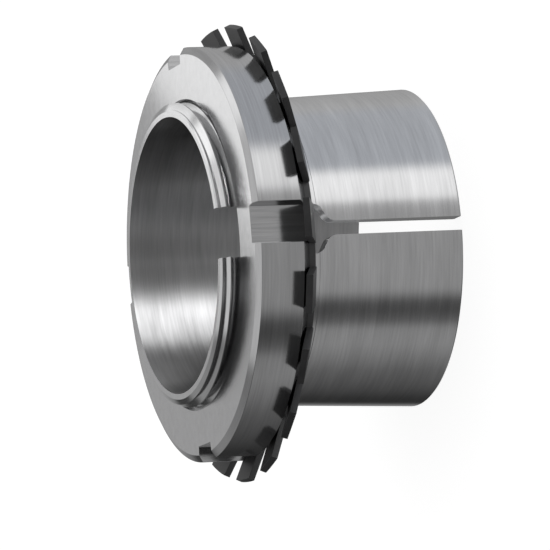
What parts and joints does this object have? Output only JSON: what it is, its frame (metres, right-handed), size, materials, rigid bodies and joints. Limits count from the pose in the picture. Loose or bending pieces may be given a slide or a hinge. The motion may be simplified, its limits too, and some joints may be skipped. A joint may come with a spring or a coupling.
{
  "type": "bearing adapter sleeve",
  "caption": "Slit tapered sleeve with threaded end, slotted lock nut and tabbed lock washer, for clamping a tapered-bore bearing on a plain shaft.",
  "frame": {"origin": "centre of the bore in the plane of the sleeve's big end face, on which it stands", "axes": "+Z along the bore from the big end towards the threaded end; the slit and the keyway are on the -Y side"},
  "size_m": [0.0828, 0.0827, 0.045],
  "materials": {
    "sleeve_steel": "turned bright steel",
    "nut_steel": "turned bright steel",
    "washer_steel": "black oxide steel"
  },
  "bodies": {
    "sleeve": {"adapter_sleeve": "sleeve_steel"},
    "washer": {"lock_washer": "washer_steel"},
    "nut": {"lock_nut": "nut_steel"}
  },
  "joints": [
    {"name": "washer_slide", "type": "slide", "parent": "sleeve", "child": "washer", "axis": [0, 0, 1], "range_m": [-0.0025, 0.014]},
    {"name": "nut_turn", "type": "hinge", "parent": "washer", "child": "nut", "pos_m": [0, 0, 0.0364], "axis": [0, 0, 1], "range_deg": [-450, 2520]}
  ],
  "couplings": [
    {"joint": "washer_slide", "follows": "nut_turn", "m_per_rad": 0.00031831}
  ]
}
